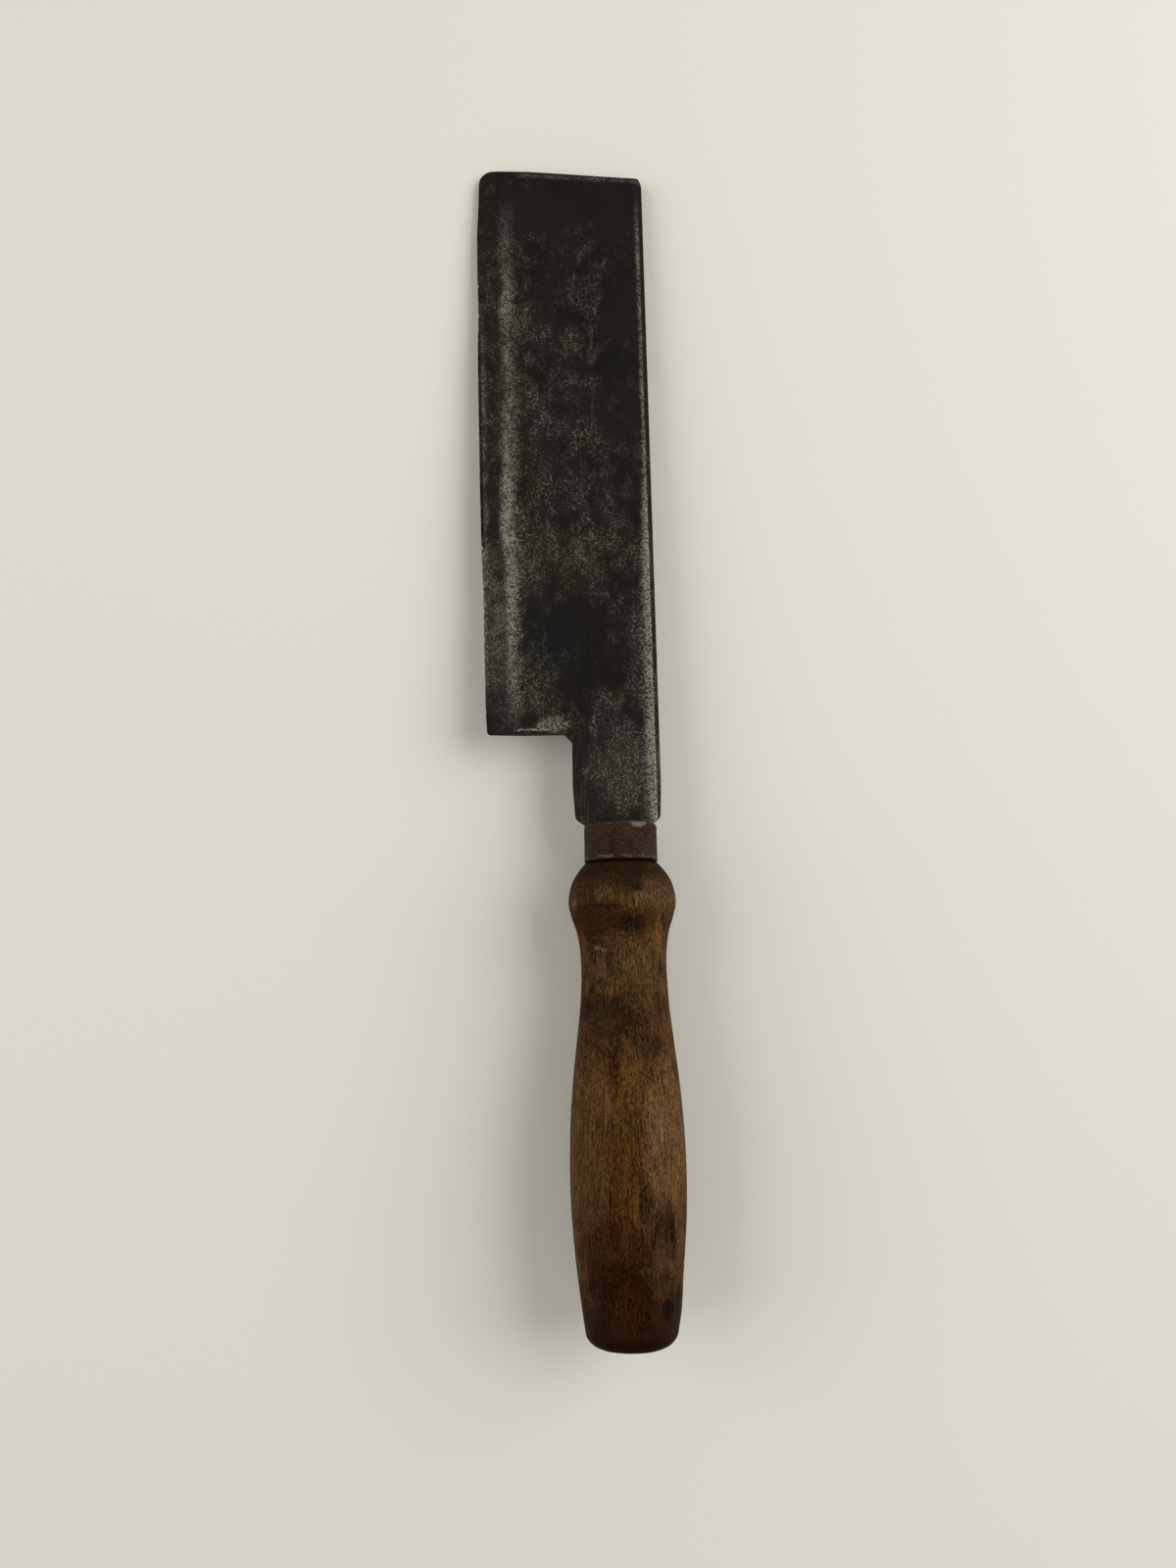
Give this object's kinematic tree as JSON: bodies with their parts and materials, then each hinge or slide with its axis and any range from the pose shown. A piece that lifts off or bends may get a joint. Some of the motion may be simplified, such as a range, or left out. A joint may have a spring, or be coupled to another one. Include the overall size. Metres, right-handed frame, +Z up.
{
  "type": "kindling chopper",
  "caption": "Kindling chopper: long straight-edged forged blade with a square tip, ground bevel and shouldered neck, iron ferrule and turned wooden handle with a front bulb.",
  "frame": {"origin": "middle of the bounding box's base; Z = 0 is the bench that the tool lies on", "axes": "+Y from the butt of the handle to the tip of the blade, +Z up out of the blade's upper face as it lies, +X towards the spine, cutting edge on the -X side; right-handed"},
  "size_m": [0.0516, 0.3179, 0.0324],
  "materials": {
    "blade_steel": "dark brown-black patina, mottled with worn grey, ground bevel brighter",
    "ferrule_iron": "dark rusty brown iron with a worn front rim",
    "handle_wood": "aged mid-brown hardwood, worn smooth, with dark stains and dents"
  },
  "bodies": {
    "root": {"blade": "blade_steel", "ferrule": "ferrule_iron", "handle": "handle_wood"}
  },
  "joints": []
}
